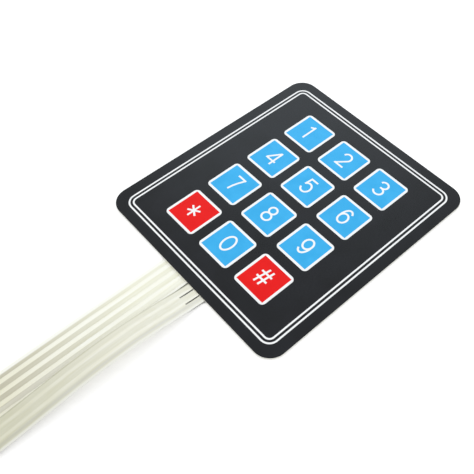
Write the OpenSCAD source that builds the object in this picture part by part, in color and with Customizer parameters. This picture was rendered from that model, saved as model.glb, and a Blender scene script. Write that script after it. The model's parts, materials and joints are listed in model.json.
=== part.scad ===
// Membrane keypad: a laminate of die-cut films, with a flat film tail and a crimped socket.
// Lengths are in millimetres. The origin is the centre of the rear face.
// +Z comes out of the keys, +Y points to the 1-2-3 row, and the tail leaves along -Y.

/* [Pad] */
// Width of the pad
pad_w = 69.2; // [66:0.1:90]
// Height of the pad
pad_h = 76.9; // [74:0.1:100]
// Corner radius of the pad
pad_r = 5.3; // [2:0.1:8]

/* [Layers] */
// Thickness of the paper release liner
liner_t = 0.1; // [0.05:0.01:0.2]
// Thickness of the mounting adhesive
rear_adhesive_t = 0.05; // [0.03:0.01:0.15]
// Thickness of each circuit film
film_t = 0.125; // [0.075:0.005:0.2]
// Thickness of the printed silver
silver_t = 0.02; // [0.01:0.005:0.03]
// Thickness of the spacer
spacer_t = 0.12; // [0.08:0.01:0.3]
// Thickness of the adhesive under the overlay
overlay_adhesive_t = 0.05; // [0.03:0.01:0.15]
// Thickness of the overlay
overlay_t = 0.19; // [0.12:0.01:0.4]
// Depth of the colour print in the overlay
print_t = 0.03; // [0.01:0.005:0.06]

/* [Keys] */
// Width and height of a key, over its white frame
key_size = 11.85; // [9:0.05:13]
// Distance between key columns
key_pitch_x = 15; // [14:0.1:17]
// Distance between key rows
key_pitch_y = 15.1; // [14:0.1:17]
// Offset of the key array from the middle of the pad
key_shift = [0.25, -0.15]; // [-1:0.05:1]
// Width of the white frame round a key
frame_line = 0.75; // [0.4:0.05:1.5]
// Outer corner radius of the white frame
frame_r = 1.3; // [0.3:0.05:2]

/* [Border] */
// Distance from the pad's side edges to the outer line
border_margin_x = 3.4; // [2:0.1:5]
// Distance from the pad's top and bottom edges to the outer line
border_margin_y = 3.1; // [2:0.1:5]
// Width of each border line
border_line = 0.5; // [0.3:0.05:1]
// Distance between the two border lines
border_gap = 0.7; // [0.3:0.05:1.2]
// Outer corner radius of the outer line
border_r = 3.1; // [2:0.1:5]

/* [Circuit] */
// Diameter of the silver pad under a key
silver_pad_d = 7.5; // [5:0.1:8.5]
// Diameter of the spacer's hole under a key
spacer_hole_d = 9; // [8:0.1:11]
// Width of a silver track
track_w = 0.8; // [0.5:0.05:1]
// Distance between tracks that run side by side
track_pitch = 1.4; // [1.2:0.05:1.6]
// Distance from the keys to the nearest track that passes them
track_margin = 1.4; // [1:0.1:2]
// Width of the air vents between the spacer's holes
vent_w = 0.8; // [0.4:0.05:1.5]
// Distance from a vent to the middle of the holes that it joins
vent_shift = 2.6; // [1:0.1:3.4]

/* [Tail] */
// Distance between the tail's conductors
pitch = 2.54; // [2:0.01:2.54]
// Distance from the middle of the pad to the middle of the tail
tail_shift = 1; // [-6:0.1:6]
// Free length of the tail, from the pad to the socket
tail_l = 71; // [40:1:150]
// Width of the slit between the two strips, and of the root slits
slit_w = 0.4; // [0.1:0.05:0.5]
// Length of the slits between the columns, at the pad
root_slit_l = 4.5; // [1:0.1:10]
// Width of a conductor on the tail
conductor_w = 1.2; // [0.8:0.05:1.25]
// Width of the insulating print over a conductor
insulation_w = 1.3; // [1:0.05:1.7]
// Thickness of the insulating print
insulation_t = 0.03; // [0.01:0.005:0.05]
// Distance from a slit to the insulating print on its right
slit_gap = 0.05; // [0.02:0.01:0.8]
// Height that the row strip bows up between its ends
row_bow = 0.3; // [0:0.1:5]
// Height that the column strip bows up between its ends
column_bow = 2.8; // [0:0.1:5]
// Skew of the bow towards the pad, where 1 is none
bow_skew = 0.7; // [0.6:0.05:1]

/* [Socket] */
// Length of the socket housing
housing_l = 14; // [13.5:0.1:18]
// Thickness of the socket housing
housing_t = 2.54; // [2.4:0.01:3.5]
// Thickness of the housing's top and bottom walls
housing_wall = 0.4; // [0.3:0.02:0.5]
// Thickness of the housing's side walls
side_wall = 0.8; // [0.5:0.05:1.5]
// Thickness of the walls between two contacts
rib_t = 0.5; // [0.3:0.02:0.5]
// Thickness of the wall that the pins enter through
front_wall = 0.8; // [0.5:0.05:1.2]
// Width of the square pin holes
pin_hole = 0.9; // [0.7:0.02:1]
// Depth of the bevel round a pin hole
lead_in = 0.3; // [0.1:0.02:0.4]
// Bevel along the housing's long edges
housing_bevel = 0.25; // [0.05:0.01:0.3]
// Width of the latch windows over the contacts
window_w = 1.2; // [0.8:0.05:1.3]
// Length of the latch windows
window_l = 2.4; // [1.8:0.1:3]

/* [Contacts] */
// Sheet thickness of a contact
contact_t = 0.2; // [0.15:0.01:0.22]
// Play of a contact in its cavity, on each side
contact_play = 0.06; // [0.02:0.01:0.1]
// Length of a contact's box
box_l = 6; // [5:0.1:6.4]
// Length of the neck between the box and the crimp
neck_l = 1; // [0.6:0.1:1.3]
// Width of the neck
neck_w = 1; // [0.6:0.05:1.2]
// Length of a crimp tine along the contact
tine_l = 1.3; // [0.8:0.1:1.4]
// Gap between the two pairs of crimp tines
tine_gap = 0.7; // [0.4:0.1:0.8]
// Play between a film finger and the tines, on each side
finger_play = 0.05; // [0.02:0.01:0.1]

/* [Hidden] */
$fn = 64;
columns = 3;
rows = 4;
ways = rows + columns;
// How far a cut runs past the face that it opens
cut = 0.1;

// Heights of the layers' undersides, from the rear face up
z_rear_adhesive = liner_t;
z_lower_film = z_rear_adhesive + rear_adhesive_t;
z_rows = z_lower_film + film_t;
z_spacer = z_rows + silver_t;
z_columns = z_spacer + spacer_t;
z_upper_film = z_columns + silver_t;
z_overlay_adhesive = z_upper_film + film_t;
z_overlay = z_overlay_adhesive + overlay_adhesive_t;
z_print = z_overlay + overlay_t - print_t;

// Places of the keys, counted from the top left
function key_x(c) = key_shift.x + (c - (columns - 1) / 2) * key_pitch_x;
function key_y(r) = key_shift.y + ((rows - 1) / 2 - r) * key_pitch_y;
function is_red(c, r) = r == rows - 1 && c != 1;
field_size = key_size - 2 * frame_line;

// Places of the tail's conductors, counted from the left: rows first, then columns
function way_x(i) = tail_shift + (i - (ways - 1) / 2) * pitch;
pad_edge = -pad_h / 2;

// Left side of the slit between a conductor and the next one
function slit_x(i) = way_x(i + 1) - insulation_w / 2 - slit_gap - slit_w;

// Tracks of the rows run down the left side, and tracks of both kinds run in under the bottom keys
left_track = key_x(0) - key_size / 2 - track_margin;
bottom_track = key_y(rows - 1) - key_size / 2 - track_margin;
function row_side_x(r) = left_track - (rows - 1 - r) * track_pitch;
function row_run_y(r) = bottom_track - (rows - 1 - r) * track_pitch;
function column_run_y(c) = bottom_track - (c == 0 ? 2 : c == 1 ? 0 : 1) * track_pitch;

// Contact sizes that follow from the housing
cavity_w = pitch - rib_t;
cavity_h = housing_t - 2 * housing_wall;
box_w = cavity_w - 2 * contact_play;
box_h = cavity_h - 2 * contact_play;
box_z = housing_wall + contact_play;
box_y = front_wall + contact_play;
crimp_y = box_y + box_l + neck_l;
crimp_l = 2 * tine_l + tine_gap;
finger_w = box_w - 2 * contact_t - 2 * finger_play;
fold_w = finger_w / 3;
window_y = box_y + box_l / 2;
housing_w = ways * pitch - rib_t + 2 * side_wall;
socket_y = pad_edge - tail_l - housing_l;

// Straight stretches that follow the tail's bow
tail_steps = 36;
tail_step = tail_l / tail_steps;
// How far the tail's strips run in under the pad's edge
root_lap = 0.5;
// Distance from the socket to where the strips divide into fingers
finger_root = 0.6;
finger_end = tail_l + housing_l - crimp_y;
tail_end_z = box_z + contact_t + silver_t;

// The tail's side view: the film's underside, by distance from the pad's edge
function bowed(t, z0, bow) =
    z0 + (tail_end_z - z0) * t * t * (3 - 2 * t) + bow * pow(sin(180 * pow(t, bow_skew)), 2);
function station(k, z0, bow) = bowed(min(max(k / tail_steps, 0), 1), z0, bow);
function tail_z(s, z0, bow) =
    let (k = floor(s / tail_step), part = s / tail_step - k)
    station(k, z0, bow) * (1 - part) + station(k + 1, z0, bow) * part;
function stations(s0, s1) =
    concat([s0], [for (k = [0 : tail_steps]) let (s = k * tail_step) if (s > s0 && s < s1) s], [s1]);
function flip(list) = [for (i = [len(list) - 1 : -1 : 0]) list[i]];

// Shapes used by several pieces

module rounded_rect(w, h, r) {
    square([w - 2 * r, h], center = true);
    square([w, h - 2 * r], center = true);
    for (sx = [-1, 1], sy = [-1, 1])
        translate([sx * (w / 2 - r), sy * (h / 2 - r)])
            circle(r);
}

// A layer of the laminate, cut to the pad's outline
module layer(z, t) {
    translate([0, 0, z])
        linear_extrude(t)
            rounded_rect(pad_w, pad_h, pad_r);
}

module at_key(c, r) {
    translate([key_x(c), key_y(r)])
        children();
}

module key_outline() {
    rounded_rect(key_size, key_size, frame_r);
}

module key_field() {
    square(field_size, center = true);
}

// One border line, drawn a distance inside the outer line
module border_ring(inset) {
    w = pad_w - 2 * (border_margin_x + inset);
    h = pad_h - 2 * (border_margin_y + inset);
    least_r = 0.1;
    difference() {
        rounded_rect(w, h, max(border_r - inset, least_r));
        rounded_rect(w - 2 * border_line, h - 2 * border_line, max(border_r - inset - border_line, least_r));
    }
}

// Ink that lies flush in the overlay's face
module print_layer(over = 0) {
    translate([0, 0, z_print])
        linear_extrude(print_t + over)
            children();
}

// A straight track between two points on one line
module track(a, b, w) {
    translate([min(a.x, b.x) - w / 2, min(a.y, b.y) - w / 2])
        square([abs(a.x - b.x) + w, abs(a.y - b.y) + w]);
}

// The last run of a track, cut off at the pad's edge
module track_to_tail(x, y) {
    translate([x - track_w / 2, pad_edge])
        square([track_w, y - pad_edge]);
}

// A strip that follows the tail's bow, with its underside a given lift above the film's
module tail_strip(x0, x1, s0, s1, z0, bow, lift, t) {
    path = [for (s = stations(s0, s1)) [pad_edge - s, tail_z(s, z0, bow) + lift]];
    translate([x0, 0, 0])
        rotate([90, 0, 90])
            linear_extrude(x1 - x0)
                polygon(concat(path, flip([for (p = path) p + [0, t]])));
}

// A strip of the tail round one conductor
module way_strip(i, w, s0, s1, z0, bow, lift, t) {
    tail_strip(way_x(i) - w / 2, way_x(i) + w / 2, s0, s1, z0, bow, lift, t);
}

// Places things at one way of the socket, with the pin holes at y = 0
module at_way(i) {
    translate([way_x(i), socket_y, 0])
        children();
}

// Overlay and its print

module graphic_overlay() {
    color("#2e2f31")
        difference() {
            layer(z_overlay, overlay_t);
            for (c = [0 : columns - 1], r = [0 : rows - 1])
                print_layer(cut) at_key(c, r) key_outline();
            print_layer(cut) border_ring(0);
            print_layer(cut) border_ring(border_line + border_gap);
        }
}

module key_frames() {
    color("white")
        for (c = [0 : columns - 1], r = [0 : rows - 1])
            print_layer()
                at_key(c, r)
                    difference() {
                        key_outline();
                        key_field();
                    }
}

module blue_key_fields() {
    color("#3cb4fa")
        for (c = [0 : columns - 1], r = [0 : rows - 1])
            if (!is_red(c, r))
                print_layer() at_key(c, r) key_field();
}

module red_key_fields() {
    color("#f2231e")
        for (c = [0 : columns - 1], r = [0 : rows - 1])
            if (is_red(c, r))
                print_layer() at_key(c, r) key_field();
}

module border_lines() {
    color("white") {
        print_layer() border_ring(0);
        print_layer() border_ring(border_line + border_gap);
    }
}

module overlay_adhesive() {
    color("#c9c6b4")
        layer(z_overlay_adhesive, overlay_adhesive_t);
}

// Upper circuit: the columns, on the film's underside

module upper_circuit_film() {
    color("#e9e7d8") {
        difference() {
            union() {
                layer(z_upper_film, film_t);
                tail_strip(slit_x(rows - 1) + slit_w, way_x(ways - 1) + pitch / 2,
                           -root_lap, tail_l - finger_root, z_upper_film, column_bow, 0, film_t);
            }
            for (i = [rows : ways - 2])
                root_slit(i);
        }
        for (i = [rows : ways - 1])
            way_strip(i, finger_w, tail_l - finger_root, finger_end, z_upper_film, column_bow, 0, film_t);
    }
}

// A slit beside a column's conductor, from the pad's edge outwards
module root_slit(i) {
    deep = film_t + column_bow;
    translate([slit_x(i), pad_edge - root_slit_l, z_upper_film - deep])
        cube([slit_w, root_slit_l, 2 * deep]);
}

module column_tracks() {
    color("#b9bcc0")
        for (c = [0 : columns - 1])
            union() {
                translate([0, 0, z_columns])
                    linear_extrude(silver_t)
                        column_plan(c);
                way_strip(rows + c, conductor_w, -root_lap, finger_end,
                          z_upper_film, column_bow, -silver_t, silver_t);
            }
}

module column_plan(c) {
    run_y = column_run_y(c);
    for (r = [0 : rows - 1])
        at_key(c, r) circle(d = silver_pad_d);
    track([key_x(c), key_y(0)], [key_x(c), run_y], track_w);
    track([key_x(c), run_y], [way_x(rows + c), run_y], track_w);
    track_to_tail(way_x(rows + c), run_y);
}

module column_insulation() {
    color("#d8d6c4")
        for (c = [0 : columns - 1])
            way_strip(rows + c, insulation_w, 0, tail_l - finger_root,
                      z_upper_film, column_bow, -silver_t - insulation_t, insulation_t);
}

// Spacer between the two circuits

module spacer() {
    color("#eceff0")
        translate([0, 0, z_spacer])
            linear_extrude(spacer_t)
                difference() {
                    rounded_rect(pad_w, pad_h, pad_r);
                    for (c = [0 : columns - 1], r = [0 : rows - 1])
                        at_key(c, r) circle(d = spacer_hole_d);
                    for (r = [0 : rows - 1])
                        translate([0, vent_shift])
                            track([key_x(0), key_y(r)], [key_x(columns - 1), key_y(r)], vent_w);
                    translate([vent_shift, 0])
                        track([key_x(1), key_y(0)], [key_x(1), key_y(rows - 1)], vent_w);
                }
}

// Lower circuit: the rows, on the film's top

module row_tracks() {
    color("#b9bcc0")
        for (r = [0 : rows - 1])
            union() {
                translate([0, 0, z_rows])
                    linear_extrude(silver_t)
                        row_plan(r);
                way_strip(r, conductor_w, -root_lap, finger_end, z_lower_film, row_bow, film_t, silver_t);
            }
}

module row_plan(r) {
    side_x = row_side_x(r);
    run_y = row_run_y(r);
    for (c = [0 : columns - 1])
        at_key(c, r) circle(d = silver_pad_d);
    track([side_x, key_y(r)], [key_x(columns - 1), key_y(r)], track_w);
    track([side_x, key_y(r)], [side_x, run_y], track_w);
    track([side_x, run_y], [way_x(r), run_y], track_w);
    track_to_tail(way_x(r), run_y);
}

module row_insulation() {
    color("#d8d6c4")
        for (r = [0 : rows - 1])
            way_strip(r, insulation_w, 0, tail_l - finger_root,
                      z_lower_film, row_bow, film_t + silver_t, insulation_t);
}

module lower_circuit_film() {
    color("#e9e7d8") {
        layer(z_lower_film, film_t);
        tail_strip(way_x(0) - pitch / 2, slit_x(rows - 1),
                   -root_lap, tail_l - finger_root, z_lower_film, row_bow, 0, film_t);
        for (r = [0 : rows - 1])
            way_strip(r, finger_w, tail_l - finger_root, finger_end, z_lower_film, row_bow, 0, film_t);
    }
}

// Rear adhesive and liner

module rear_adhesive() {
    color("#d9d4bd")
        layer(z_rear_adhesive, rear_adhesive_t);
}

module release_liner() {
    color("#f1efe6")
        layer(0, liner_t);
}

// Socket

module connector_housing() {
    color("#1d1d1f")
        difference() {
            housing_body();
            for (i = [0 : ways - 1])
                at_way(i) {
                    contact_cavity();
                    pin_entry();
                    latch_window();
                }
        }
}

// The housing's outline, seen along the pins
module housing_body() {
    x = housing_w / 2;
    b = housing_bevel;
    translate([tail_shift, socket_y + housing_l, 0])
        rotate([90, 0, 0])
            linear_extrude(housing_l)
                polygon([[-x + b, 0], [x - b, 0], [x, b], [x, housing_t - b],
                         [x - b, housing_t], [-x + b, housing_t], [-x, housing_t - b], [-x, b]]);
}

module contact_cavity() {
    translate([-cavity_w / 2, front_wall, housing_wall])
        cube([cavity_w, housing_l - front_wall + cut, cavity_h]);
}

// A square hole with a bevelled mouth, where two wedges cross
module pin_entry() {
    near = pin_hole / 2 + lead_in;
    far = pin_hole / 2;
    profile = [[-near, -cut], [near, -cut], [near, 0], [far, lead_in], [far, front_wall + cut],
               [-far, front_wall + cut], [-far, lead_in], [-near, 0]];
    translate([0, 0, housing_t / 2])
        intersection() {
            translate([0, 0, -near])
                linear_extrude(2 * near)
                    polygon(profile);
            rotate([0, 90, 0])
                translate([0, 0, -near])
                    linear_extrude(2 * near)
                        polygon(profile);
        }
}

module latch_window() {
    translate([-window_w / 2, window_y, housing_t - housing_wall - cut])
        cube([window_w, window_l, housing_wall + 2 * cut]);
}

// A stamped contact: a box with two springs, a neck, and tines folded over the film finger
module contact(i) {
    color("#c8c6bd")
        at_way(i - 1) {
            contact_box();
            contact_latch();
            contact_crimp();
        }
}

module contact_box() {
    inner_w = box_w - 2 * contact_t;
    inner_h = box_h - 2 * contact_t;
    spring_w = inner_w * 2 / 3;
    spring_gap = 0.5;
    spring_h = (inner_h - spring_gap) / 2;
    spring = [[0, 0], [box_l / 3, spring_h], [box_l / 2, spring_h], [box_l * 3 / 4, 0]];
    translate([0, box_y, box_z]) {
        difference() {
            translate([-box_w / 2, 0, 0])
                cube([box_w, box_l, box_h]);
            translate([-inner_w / 2, -cut, contact_t])
                cube([inner_w, box_l + 2 * cut, inner_h]);
        }
        for (top = [0, 1])
            translate([0, 0, box_h / 2])
                mirror([0, 0, top])
                    translate([-spring_w / 2, 0, contact_t - box_h / 2])
                        rotate([90, 0, 90])
                            linear_extrude(spring_w)
                                polygon(spring);
    }
}

// The lance that snaps into the housing's window
module contact_latch() {
    latch_w = window_w * 2 / 3;
    latch_l = window_l / 2;
    translate([-latch_w / 2, window_y + window_l - latch_l - contact_play, box_z + box_h])
        rotate([90, 0, 90])
            linear_extrude(latch_w)
                polygon([[0, 0], [latch_l, 0], [latch_l, housing_wall]]);
}

module contact_crimp() {
    fold_z = contact_t + 2 * silver_t + film_t;
    translate([0, 0, box_z]) {
        translate([-neck_w / 2, crimp_y - neck_l - contact_t, 0])
            cube([neck_w, neck_l + 2 * contact_t, contact_t]);
        translate([-box_w / 2, crimp_y, 0])
            cube([box_w, crimp_l, contact_t]);
        for (side = [0, 1], pair = [0, 1])
            mirror([side, 0, 0])
                translate([0, crimp_y + pair * (tine_l + tine_gap), 0]) {
                    translate([box_w / 2 - contact_t, 0, 0])
                        cube([contact_t, tine_l, fold_z + contact_t]);
                    translate([box_w / 2 - contact_t - fold_w, 0, fold_z])
                        cube([fold_w + contact_t, tine_l, contact_t]);
                }
    }
}

graphic_overlay();
key_frames();
blue_key_fields();
red_key_fields();
border_lines();
overlay_adhesive();
upper_circuit_film();
column_tracks();
column_insulation();
spacer();
row_tracks();
row_insulation();
lower_circuit_film();
rear_adhesive();
release_liner();
connector_housing();
for (i = [1 : ways])
    contact(i);
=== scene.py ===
# Membrane keypad: key legends, surface finishes, floor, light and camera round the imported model.
# Lengths are in metres unless a name or comment says millimetres.
import json
from math import cos, radians, sin

import bmesh
import bpy
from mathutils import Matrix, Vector
from mathutils.geometry import delaunay_2d_cdt


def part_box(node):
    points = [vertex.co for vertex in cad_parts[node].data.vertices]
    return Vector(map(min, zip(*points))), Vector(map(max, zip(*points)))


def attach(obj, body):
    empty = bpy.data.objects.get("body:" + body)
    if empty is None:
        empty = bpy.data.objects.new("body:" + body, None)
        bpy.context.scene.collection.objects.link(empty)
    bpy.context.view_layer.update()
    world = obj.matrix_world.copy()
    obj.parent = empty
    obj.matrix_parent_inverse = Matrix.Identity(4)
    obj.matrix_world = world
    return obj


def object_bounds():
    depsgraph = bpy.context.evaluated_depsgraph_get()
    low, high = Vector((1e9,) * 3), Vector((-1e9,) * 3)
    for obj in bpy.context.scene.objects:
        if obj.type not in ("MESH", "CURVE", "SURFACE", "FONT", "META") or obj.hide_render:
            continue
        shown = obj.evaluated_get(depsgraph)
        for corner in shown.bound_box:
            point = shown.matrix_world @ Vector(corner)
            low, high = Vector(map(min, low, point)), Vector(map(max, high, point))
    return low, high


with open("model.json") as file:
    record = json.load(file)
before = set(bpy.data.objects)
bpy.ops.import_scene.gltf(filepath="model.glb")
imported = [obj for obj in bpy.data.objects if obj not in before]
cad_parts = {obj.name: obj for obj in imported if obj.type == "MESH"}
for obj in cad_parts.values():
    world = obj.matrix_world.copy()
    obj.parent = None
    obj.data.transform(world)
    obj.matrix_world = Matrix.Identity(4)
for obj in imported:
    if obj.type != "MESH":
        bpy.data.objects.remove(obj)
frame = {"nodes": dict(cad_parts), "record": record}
cad_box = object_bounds()
nodes = frame["nodes"]
MM = 0.001

# Key layout, read from the printed fields
COLUMNS = 3
ROWS = 4
red_low, red_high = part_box("red_key_fields")
blue_low, blue_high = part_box("blue_key_fields")
FIELD = red_high.y - red_low.y
PITCH_X = (red_high.x - red_low.x - FIELD) / (COLUMNS - 1)
PITCH_Y = (blue_high.y - blue_low.y - FIELD) / (ROWS - 1)
FACE_Z = blue_high.z
PAD_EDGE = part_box("graphic_overlay")[0].y

# Places of the tail's conductors, read from the contacts
contact_boxes = [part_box(f"contact_{i}") for i in range(1, ROWS + COLUMNS + 1)]
WAYS = [(low.x + high.x) / 2 for low, high in contact_boxes]
WAY_PITCH = WAYS[1] - WAYS[0]

# Legends: height, line width, shift from the key's middle, ink thickness above and below the key's
# face and tolerance for joined lines, in millimetres, the step of a round line in degrees, and the
# angle within which neighbouring faces become one
LEGENDS = "123456789*0#"
SIGN_NAMES = {"*": "star", "#": "hash"}
LEGEND_H = 5.85
STROKE_W = 0.58
LEGEND_SHIFT = Vector((0, 0.24))
LEGEND_T = 0.012
LEGEND_SUNK = 0.008
JOIN_TOLERANCE = 1e-5
ARC_STEP = 9
FLAT_ANGLE = radians(1)

# Grain shared by the printed films: size and depth in millimetres, roughness and sheen
FILM_GRAIN = 0.14
INK_DEPTH = 0.003
INK_ROUGHNESS = (0.42, 0.54)
PRINT_SHEEN = {"Specular IOR Level": 0.16}

# Streaks along the drawn films: width and depth in millimetres, length as a multiple of the width
STREAK_W = 0.4
STREAK_STRETCH = 30
STREAK_DEPTH = 0.002
STREAK_TINT = "faf9f3"

# The upper film of the tail, in millimetres from a conductor's middle: where the conductor's
# show-through fades out, where the painted shade line along the cut edge beside the first one
# fades out, and where the bare margin outside the last one sets in. The painted shade line also
# fades with the distance from the pad's edge, in millimetres
TRACK_SHOW = (0.7, 1)
TRACK_TINT = "f2f2ee"
# The last conductor's show-through is darkened partly as painted shade
OUTER_TRACK_SHOW = (0.2, 0.6)
OUTER_TRACK_SHADE_TINT = "f2f2f7"
SLIT_SHADE_SPAN = (-0.6, -0.3)
SLIT_SHADE_FADE = (2, 9)
SLIT_SHADE_TINTS = ("8c8c84", "e6e6df")
# The bare margin is tinted grey as painted shadow, the floor's shade seen through the clear film
MARGIN_START = (0.55, 0.9)
MARGIN_SHADOW_SHARE = 0.6
MARGIN_SHADOW_TONE = "eeefe9"

# The row strip of the tail, in millimetres from a conductor's middle: where it pales towards its
# outer side on the first conductor and towards the slit on the last one, and how far it pales there.
# The paling towards the slit is painted light, lifting the shade beside the raised upper strip
PALE_TONE = "fffff8"
PALE_OUTER_SPAN = (-0.45, -0.1)
PALE_OUTER = 0.85
SLIT_SIDE_LIGHT_SPAN = (-0.75, -0.35)
SLIT_SIDE_LIGHT = 0.22

# Span that holds most values of a noise
NOISE_SPAN = (0.35, 0.65)

# Camera, in millimetres, with its sideways shift as a share of the picture
CAMERA_AT = Vector((83.25, -78.59, 145.67))
CAMERA_AIM = Vector((8.22, -10.64, 0.8))
CAMERA_LENS = 48.63
CAMERA_SHIFT = -0.0911
CAMERA_NEAR = 10

# Soft lamp, in millimetres and watts, and the level of the even sky
SOFTBOX_AT = Vector((-225, 220, 215))
SOFTBOX_AIM = Vector((0, -20, 0))
SOFTBOX_SIZE = 260
SOFTBOX_POWER = 0.38
SOFTBOX_COLOUR = (0.78, 0.91, 1)
WORLD_LEVEL = 0.92
WHITE = (1, 1, 1, 1)

# Floor: size and gap under the part in millimetres, its tone and the glow that shows it white
FLOOR_SIZE = 4000
FLOOR_GAP = 0.02
FLOOR_TONE = 0.88
FLOOR_GLOW = 0.3
FLOOR_SHADER = {"Roughness": 0.9, "Specular IOR Level": 0, "Emission Color": WHITE}

# Contact shade on the floor: reach in millimetres, tone, and the openness over which it fades out
CONTACT_REACH = 1.5
CONTACT_TONE = 0.3
CONTACT_OPEN = (0.35, 0.6)


# Legends

def arc(x, y, rx, ry, start, end):
    """Points on an ellipse from one angle to another, in degrees"""
    steps = max(1, round(abs(end - start) / ARC_STEP))
    angles = [radians(start + (end - start) * i / steps) for i in range(steps + 1)]
    return [(x + rx * cos(a), y + ry * sin(a)) for a in angles]


def turned(strokes):
    """The same strokes turned by half a turn"""
    return [[(-x, -y) for x, y in stroke] for stroke in strokes]


def glyphs():
    """Centrelines of every legend, in millimetres from its middle"""
    top = (LEGEND_H - STROKE_W) / 2
    end = LEGEND_H / 2
    waist = 0.15
    upper = (top + waist) / 2
    lower = (waist - top) / 2
    six = [arc(0, -0.85, 1.42, top - 0.85, 0, 360), arc(0.12, -0.3, 1.54, top + 0.3, 42, 185)]
    return {
        "0": [arc(0, 0, 1.62, top, 0, 360)],
        "1": [[(-0.3, -end), (-0.3, end)], [(-0.3, 2.55), (-1.55, 1.85)]],
        "2": [arc(0, 1.15, 1.42, top - 1.15, 168, -35) + [(-1.35, -top)],
              [(-1.72, -top), (1.65, -top)]],
        "3": [arc(-0.1, upper, 1.32, top - upper, 162, -90) + [(-0.55, waist)],
              [(-0.55, waist)] + arc(-0.1, lower, 1.5, waist - lower, 90, -160)],
        "4": [[(0.84, -end), (0.84, end)],
              [(0.72, 2.7), (-1.76, -1.1)],
              [(-2.04, -1.24), (1.73, -1.24)]],
        "5": [[(1.42, top), (-1, top), (-1.3, 0)],
              arc(-0.08, -0.83, 1.5, top - 0.83, 146, -160)],
        "6": six,
        "7": [[(-1.55, top), (1.62, top)],
              [(1.32, top), (0.45, 0.45), (-0.02, -1.1), (-0.32, -end)]],
        "8": [arc(0, upper, 1.22, top - upper, 0, 360), arc(0, lower, 1.45, waist - lower, 0, 360)],
        "9": turned(six),
        "*": [[(-0.33, -2.42), (-0.33, 2.26)],
              [(-1.98, -1.13), (1.32, 0.97)],
              [(-1.98, 0.97), (1.32, -1.13)]],
        "#": [[(-1.54, -2.62), (-0.66, 2.88)], [(0.04, -2.62), (0.77, 2.88)],
              [(-2.28, 1.2), (1.55, 1.2)], [(-2.28, -0.76), (1.55, -0.76)]],
    }


def stroke_quads(points):
    """A line of even width as one quad per stretch, mitred where it bends"""
    line = [Vector(p) for p in points]
    ways = [(end - start).normalized() for start, end in zip(line, line[1:])]
    closed = (line[0] - line[-1]).length < JOIN_TOLERANCE
    before = [ways[-1] if closed else ways[0]] + ways
    after = ways + [ways[0] if closed else ways[-1]]
    sides = []
    for point, back, ahead in zip(line, before, after):
        along = (back + ahead).normalized()
        across = Vector((-along.y, along.x)) * STROKE_W / 2 / along.dot(back)
        sides.append((point + across, point - across))
    return [(a[1], b[1], b[0], a[0]) for a, b in zip(sides, sides[1:])]


def merged(quads):
    """Corners and triangles of the area that the quads cover together"""
    corners = [corner for quad in quads for corner in quad]
    faces = [list(range(4 * i, 4 * i + 4)) for i in range(len(quads))]
    points, _, triangles, _, _, sources = delaunay_2d_cdt(corners, [], faces, 0, JOIN_TOLERANCE)
    return points, [t for t, source in zip(triangles, sources) if source]


def key_middle(column, row):
    """Middle of a key, counted from the top left one"""
    x = red_low.x + FIELD / 2 + column * PITCH_X
    y = blue_high.y - FIELD / 2 - row * PITCH_Y
    return Vector((x, y))


def make_legend(sign, strokes, column, row):
    """A printed sign, as a thin raised layer of ink on its key"""
    points, triangles = merged([quad for stroke in strokes for quad in stroke_quads(stroke)])
    middle = key_middle(column, row)
    base_z = FACE_Z - LEGEND_SUNK * MM
    mesh = bmesh.new()
    verts = [mesh.verts.new((*(middle + (p + LEGEND_SHIFT) * MM), base_z)) for p in points]
    for triangle in triangles:
        mesh.faces.new([verts[i] for i in triangle])
    bmesh.ops.delete(mesh, geom=[v for v in mesh.verts if not v.link_faces], context="VERTS")
    bmesh.ops.dissolve_limit(mesh, angle_limit=FLAT_ANGLE, verts=mesh.verts, edges=mesh.edges)
    raised = bmesh.ops.extrude_face_region(mesh, geom=mesh.faces[:])
    top = [item for item in raised["geom"] if isinstance(item, bmesh.types.BMVert)]
    bmesh.ops.translate(mesh, verts=top, vec=(0, 0, (LEGEND_T + LEGEND_SUNK) * MM))
    bmesh.ops.recalc_face_normals(mesh, faces=mesh.faces)
    data = bpy.data.meshes.new("legend_" + SIGN_NAMES.get(sign, sign))
    mesh.to_mesh(data)
    mesh.free()
    data.materials.append(FINISHES["white_ink"])
    legend = placed(bpy.data.objects.new(data.name, data))
    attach(legend, "root")


# Finishes

def screen_colour(code):
    """Linear colour of a six-figure screen colour"""
    parts = [int(code[i:i + 2], 16) / 255 for i in (0, 2, 4)]
    return [p / 12.92 if p <= 0.04045 else ((p + 0.055) / 1.055) ** 2.4 for p in parts] + [1]


def add_node(tree, kind, inputs=None, **settings):
    """A new shader node, with each input linked to a socket or set to a value"""
    made = tree.nodes.new(kind)
    for name, value in settings.items():
        setattr(made, name, value)
    for socket, value in (inputs or {}).items():
        if isinstance(value, bpy.types.NodeSocket):
            tree.links.new(value, made.inputs[socket])
        else:
            made.inputs[socket].default_value = value
    return made


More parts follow.
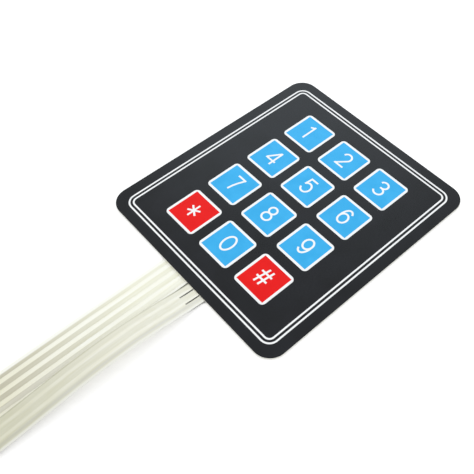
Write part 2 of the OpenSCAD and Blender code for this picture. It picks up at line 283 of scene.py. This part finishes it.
class Finish:
    """A procedural material, built up node by node round one shader"""

    def __init__(self, name, sockets=None):
        self.material = bpy.data.materials.new(name)
        self.material.use_nodes = True
        self.tree = self.material.node_tree
        self.shader = self.tree.nodes["Principled BSDF"]
        for socket, value in (sockets or {}).items():
            self.shader.inputs[socket].default_value = value

    def node(self, kind, inputs=None, **settings):
        """A new node of this material"""
        return add_node(self.tree, kind, inputs, **settings)

    def drive(self, socket, value):
        """Lets a value drive one of the shader's sockets"""
        self.tree.links.new(value, self.shader.inputs[socket])

    def place(self):
        """The place of a point in the frame"""
        return self.node("ShaderNodeTexCoord").outputs["Object"]

    def axis(self, name):
        """The place along one axis"""
        return self.node("ShaderNodeSeparateXYZ", {"Vector": self.place()}).outputs[name]

    def noise(self, size_mm, detail=2, stretch=(1, 1, 1)):
        """Noise with features of a given size, drawn out along the axes"""
        scale = [1 / (size_mm * MM * s) for s in stretch]
        place = self.node("ShaderNodeMapping", {"Vector": self.place(), "Scale": scale}).outputs[0]
        inputs = {"Vector": place, "Scale": 1, "Detail": detail}
        return self.node("ShaderNodeTexNoise", inputs).outputs[0]

    def math(self, operation, first, second):
        """The result of an operation on two values"""
        return self.node("ShaderNodeMath", {0: first, 1: second}, operation=operation).outputs[0]

    def spread(self, value, ends, span=NOISE_SPAN):
        """A value mapped from a span to the range between two ends, and kept in that range"""
        limits = {"From Min": span[0], "From Max": span[1], "To Min": ends[0], "To Max": ends[1]}
        return self.node("ShaderNodeMapRange", {"Value": value, **limits}).outputs[0]

    def blend(self, factor, first, second, blend_type="MIX"):
        """A colour between two others, or blended in another way"""
        inputs = {0: factor, 6: first, 7: second}
        return self.node("ShaderNodeMix", inputs, data_type="RGBA", blend_type=blend_type).outputs[2]

    def tinted(self, factor, colour, tint):
        """A colour multiplied by a tint, as far as the factor says"""
        return self.blend(factor, colour, tint, "MULTIPLY")

    def toned(self, factor, tones):
        """A colour between two tones"""
        return self.blend(factor, *[screen_colour(tone) for tone in tones])

    def along_tail(self, shade_span_mm):
        """0 near the pad, rising to 1 along the tail between two distances from the pad's edge"""
        return self.spread(self.axis("Y"), (0, 1), [PAD_EDGE - distance * MM for distance in shade_span_mm])

    def over_tracks(self, start, step, reach_mm):
        """1 over the tail's conductors, one every step from a start, falling to 0 beside them"""
        offset = self.math("SUBTRACT", self.axis("X"), start)
        away = self.math("PINGPONG", offset, step / 2)
        return self.spread(away, (1, 0), [limit * MM for limit in reach_mm])

    def beside(self, middle, ends, span_mm):
        """A value that goes from one end to the other over a span beside a conductor's middle"""
        return self.spread(self.axis("X"), ends, [middle + distance * MM for distance in span_mm])

    def grained(self, grain, roughness, depth_mm):
        """Roughness and relief that follow one grain"""
        bump = self.node("ShaderNodeBump", {"Height": grain, "Distance": depth_mm * MM})
        self.drive("Roughness", self.spread(grain, roughness))
        self.drive("Normal", bump.outputs[0])


def matte_film(name, tones, roughness, grain_mm, depth_mm, mottle_mm, sockets=None):
    """A dyed film or a moulding with a fine matte grain and a faint mottle"""
    finish = Finish(name, sockets)
    mottle = finish.spread(finish.noise(mottle_mm, detail=4), (0, 1))
    finish.drive("Base Color", finish.toned(mottle, tones))
    finish.grained(finish.noise(grain_mm, detail=3), roughness, depth_mm)
    return finish.material


def ink(name, tones, mottle_mm):
    """A flat colour printed on the film, with the film's own grain"""
    return matte_film(name, tones, INK_ROUGHNESS, FILM_GRAIN, INK_DEPTH, mottle_mm, PRINT_SHEEN)


def show_through_and_shade(finish, tone):
    """A film's tone with the conductors under it showing, the last one darkened partly as painted shade,
    a painted shade line along the inner cut edge, and a bare outer margin tinted grey as painted shadow
    """
    tracks = finish.over_tracks(WAYS[0], WAY_PITCH, TRACK_SHOW)
    # The last conductor shows darker, partly as painted shade
    outer = finish.over_tracks(WAYS[-1], len(WAYS) * WAY_PITCH, OUTER_TRACK_SHOW)
    # Painted shade: a dark line along the cut edge beside the first conductor, darkest near the pad
    slit_shade = finish.beside(WAYS[ROWS], (1, 0), SLIT_SHADE_SPAN)
    line = finish.toned(finish.along_tail(SLIT_SHADE_FADE), SLIT_SHADE_TINTS)
    # Painted shadow: the bare margin outside the last conductor turns grey
    margin_shadow = finish.beside(WAYS[-1], (0, MARGIN_SHADOW_SHARE), MARGIN_START)
    tone = finish.tinted(tracks, tone, screen_colour(TRACK_TINT))
    tone = finish.tinted(outer, tone, screen_colour(OUTER_TRACK_SHADE_TINT))
    tone = finish.tinted(slit_shade, tone, line)
    return finish.blend(margin_shadow, tone, screen_colour(MARGIN_SHADOW_TONE))


def pale_sides(finish, tone):
    """A tone that pales towards the tail's outer side, and towards the slit between the strips as
    painted light
    """
    outer = finish.beside(WAYS[0], (PALE_OUTER, 0), PALE_OUTER_SPAN)
    # Painted light: lightens the last conductor's side towards the slit, where the upper strip casts
    # shade
    slit_side_light = finish.beside(WAYS[ROWS - 1], (0, SLIT_SIDE_LIGHT), SLIT_SIDE_LIGHT_SPAN)
    tone = finish.blend(outer, tone, screen_colour(PALE_TONE))
    return finish.blend(slit_side_light, tone, screen_colour(PALE_TONE))


def drawn_film(name, tones, shade_span_mm, roughness, across=None):
    """A film or a coat on it, streaked along its length, darkened along the tail as painted shade,
    with a tone that may be changed across it"""
    finish = Finish(name)
    streaks = finish.noise(STREAK_W, detail=3, stretch=(1, STREAK_STRETCH, 1))
    # Painted shade: the tone darkens along the tail, away from the pad
    tone = finish.toned(finish.along_tail(shade_span_mm), tones)
    tone = finish.tinted(finish.spread(streaks, (0, 1)), tone, screen_colour(STREAK_TINT))
    finish.drive("Base Color", across(finish, tone) if across else tone)
    finish.grained(streaks, roughness, STREAK_DEPTH)
    return finish.material


def metal(name, tones, roughness, grain_mm, stretch, depth_mm, cloud_mm):
    """A dull or bright metal with a fine directional grain"""
    finish = Finish(name, {"Metallic": 1})
    cloud = finish.spread(finish.noise(cloud_mm), (0, 1))
    finish.drive("Base Color", finish.toned(cloud, tones))
    finish.grained(finish.noise(grain_mm, detail=4, stretch=stretch), roughness, depth_mm)
    return finish.material


def paper(name, tones, roughness, fibre_mm, stretch, depth_mm, cloud_mm):
    """Smooth coated paper with short fibres"""
    finish = Finish(name)
    cloud = finish.spread(finish.noise(cloud_mm, detail=5), (0, 1))
    finish.drive("Base Color", finish.toned(cloud, tones))
    finish.grained(finish.noise(fibre_mm, detail=4, stretch=stretch), roughness, depth_mm)
    return finish.material


FINISHES = {
    "black_film": matte_film("black_film", ("191b1e", "1e2024"), roughness=(0.24, 0.34),
                             grain_mm=FILM_GRAIN, depth_mm=0.004, mottle_mm=9, sockets=PRINT_SHEEN),
    "white_ink": ink("white_ink", ("f4f6f7", "f9fafa"), mottle_mm=3),
    "blue_ink": ink("blue_ink", ("36ade9", "3db3ef"), mottle_mm=4),
    "red_ink": ink("red_ink", ("e60b09", "ec0f0d"), mottle_mm=4),
    "adhesive": matte_film("adhesive", ("f1efe6", "f8f6ee"), roughness=(0.3, 0.45),
                           grain_mm=0.3, depth_mm=0.004, mottle_mm=2),
    # The drawn films' second tones are painted shade: each film darkens towards them along the tail
    "clear_film": drawn_film("clear_film", ("fffff5", "eae7d0"), shade_span_mm=(30, 56),
                             roughness=(0.2, 0.32), across=pale_sides),
    "satin_film": drawn_film("satin_film", ("f3f2e6", "dfdecb"), shade_span_mm=(22, 52),
                             roughness=(0.28, 0.4), across=show_through_and_shade),
    "ivory_ink": drawn_film("ivory_ink", ("f2f2e1", "c7c3b0"), shade_span_mm=(12, 50),
                            roughness=(0.4, 0.52), across=pale_sides),
    "spacer_film": drawn_film("spacer_film", ("f4f6f6", "eceeee"), shade_span_mm=(22, 52),
                              roughness=(0.35, 0.45)),
    "silver_ink": metal("silver_ink", ("a8aaac", "bfc1c3"), roughness=(0.42, 0.6),
                        grain_mm=0.06, stretch=(1, 1, 1), depth_mm=0.004, cloud_mm=1.5),
    "tin_plate": metal("tin_plate", ("b9b6ab", "d2d0c8"), roughness=(0.2, 0.38),
                       grain_mm=0.05, stretch=(1, 12, 1), depth_mm=0.002, cloud_mm=1.5),
    "liner_paper": paper("liner_paper", ("f0eee6", "f8f6f0"), roughness=(0.55, 0.75),
                         fibre_mm=0.25, stretch=(1, 3, 1), depth_mm=0.006, cloud_mm=3),
    "black_plastic": matte_film("black_plastic", ("111113", "18181b"), roughness=(0.38, 0.55),
                                grain_mm=0.1, depth_mm=0.006, mottle_mm=2),
}


# Scene

def placed(thing):
    """Puts an object into the scene"""
    bpy.context.scene.collection.objects.link(thing)
    return thing


def aimed(thing, place, aim):
    """Puts a lamp or camera at a place, turned towards a point"""
    thing.location = place * MM
    thing.rotation_euler = (aim - place).to_track_quat("-Z", "Y").to_euler()
    return placed(thing)


def seen_ray(tree):
    """1 for rays that show a surface to the camera, straight, mirrored or through a clear piece"""
    path = add_node(tree, "ShaderNodeLightPath").outputs
    seen = path["Is Camera Ray"]
    for kind in ("Is Glossy Ray", "Is Transmission Ray"):
        seen = add_node(tree, "ShaderNodeMath", {0: seen, 1: path[kind]}, operation="MAXIMUM").outputs[0]
    return seen


def floor_finish():
    """Pale, white to the camera where it lies open, and shaded close to the films' edges"""
    finish = Finish("floor", FLOOR_SHADER)
    cover = finish.node("ShaderNodeAmbientOcclusion", {"Distance": CONTACT_REACH * MM})
    openness = finish.spread(cover.outputs["AO"], (0, 1), CONTACT_OPEN)
    glow = finish.spread(openness, (0, FLOOR_GLOW), (0, 1))
    finish.drive("Base Color", finish.spread(openness, (CONTACT_TONE, FLOOR_TONE), (0, 1)))
    finish.drive("Emission Strength", finish.math("MULTIPLY", seen_ray(finish.tree), glow))
    return finish.material


def make_floor():
    """A large square floor just under the part"""
    half = FLOOR_SIZE / 2 * MM
    z = cad_box[0].z - FLOOR_GAP * MM
    data = bpy.data.meshes.new("floor")
    corners = [(-half, -half, z), (half, -half, z), (half, half, z), (-half, half, z)]
    data.from_pydata(corners, [], [(0, 1, 2, 3)])
    data.materials.append(floor_finish())
    floor = placed(bpy.data.objects.new("floor", data))


def make_light():
    """An even sky, white to the camera, and one large soft lamp behind the pad's left corner"""
    world = bpy.data.worlds.new("sky")
    world.use_nodes = True
    tree = world.node_tree
    level = add_node(tree, "ShaderNodeMapRange", {"Value": seen_ray(tree), "To Min": WORLD_LEVEL})
    background = tree.nodes["Background"].inputs
    background["Color"].default_value = WHITE
    tree.links.new(level.outputs[0], background["Strength"])
    bpy.context.scene.world = world
    lamp = bpy.data.lights.new("softbox", "AREA")
    lamp.size = SOFTBOX_SIZE * MM
    lamp.energy = SOFTBOX_POWER
    lamp.color = SOFTBOX_COLOUR
    aimed(bpy.data.objects.new("softbox", lamp), SOFTBOX_AT, SOFTBOX_AIM)


def make_camera():
    """The camera, at the photograph's viewing angle"""
    data = bpy.data.cameras.new("camera")
    data.lens = CAMERA_LENS
    data.shift_x = CAMERA_SHIFT
    data.clip_start = CAMERA_NEAR * MM
    bpy.context.scene.camera = aimed(bpy.data.objects.new("camera", data), CAMERA_AT, CAMERA_AIM)


for subpart in frame["record"]["subparts"]:
    slots = nodes[subpart["node"]].data.materials
    slots.clear()
    slots.append(FINISHES[subpart["material_slot"]])

shapes = glyphs()
for index, sign in enumerate(LEGENDS):
    make_legend(sign, shapes[sign], index % COLUMNS, index // COLUMNS)

make_floor()
make_light()
make_camera()
bpy.context.scene.view_settings.view_transform = "Standard"
